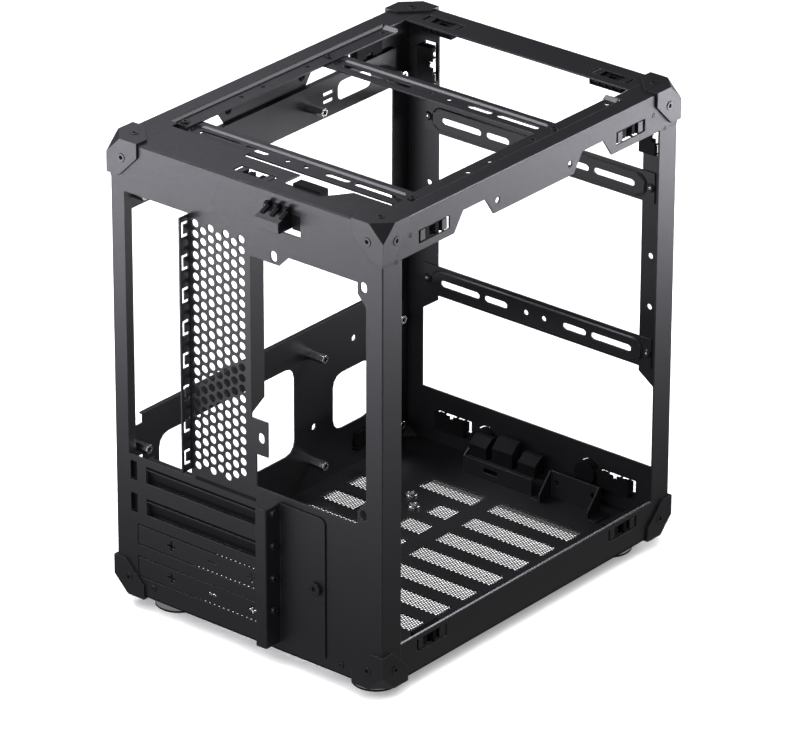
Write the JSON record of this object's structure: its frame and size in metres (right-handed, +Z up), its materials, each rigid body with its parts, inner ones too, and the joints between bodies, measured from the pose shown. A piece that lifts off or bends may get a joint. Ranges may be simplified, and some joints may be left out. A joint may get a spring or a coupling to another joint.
{
  "type": "micro-atx computer case frame",
  "caption": "Open folded-sheet frame of a compact micro-ATX computer case, with perforated rear panel, board tray, fan bars, bracketed corners and round feet.",
  "frame": {"origin": "on the ground under the middle of the case, at the middle of its overall box", "axes": "+X towards the open access side, -Y towards the rear panel, +Z up"},
  "size_m": [0.201, 0.2776, 0.2954],
  "materials": {
    "frame_paint": "satin powder coat",
    "bracket_paint": "satin powder coat",
    "black_moulding": "matte",
    "black_screw": "black oxide",
    "nickel": "bright nickel",
    "foot_metal": "satin",
    "rubber": "matte"
  },
  "bodies": {
    "root": {"rear_panel": "frame_paint", "slot_cover_1": "frame_paint", "slot_cover_2": "frame_paint", "slot_retainer": "frame_paint", "slot_screws": "black_screw", "retainer_screw": "black_screw", "rear_catch": "black_moulding", "top_rail_right": "frame_paint", "top_rail_left": "frame_paint", "front_frame": "frame_paint", "floor_pan": "frame_paint", "floor_grommets": "nickel", "top_fan_bar_rear": "frame_paint", "top_fan_bar_front": "frame_paint", "front_fan_bar_lower": "frame_paint", "front_fan_bar_upper": "frame_paint", "bar_screws": "black_screw", "tray_upper": "frame_paint", "tray_lower": "frame_paint", "standoffs": "nickel", "drive_support": "frame_paint", "port_bracket": "frame_paint", "port_housings": "black_moulding", "panel_clips": "black_moulding", "corner_screws": "black_screw", "feet": "foot_metal", "foot_pads": "rubber", "corner_top_front_right": "bracket_paint", "corner_top_front_left": "bracket_paint", "corner_top_rear_right": "bracket_paint", "corner_top_rear_left": "bracket_paint", "corner_bottom_front_right": "bracket_paint", "corner_bottom_front_left": "bracket_paint", "corner_bottom_rear_right": "bracket_paint", "corner_bottom_rear_left": "bracket_paint"}
  },
  "joints": []
}
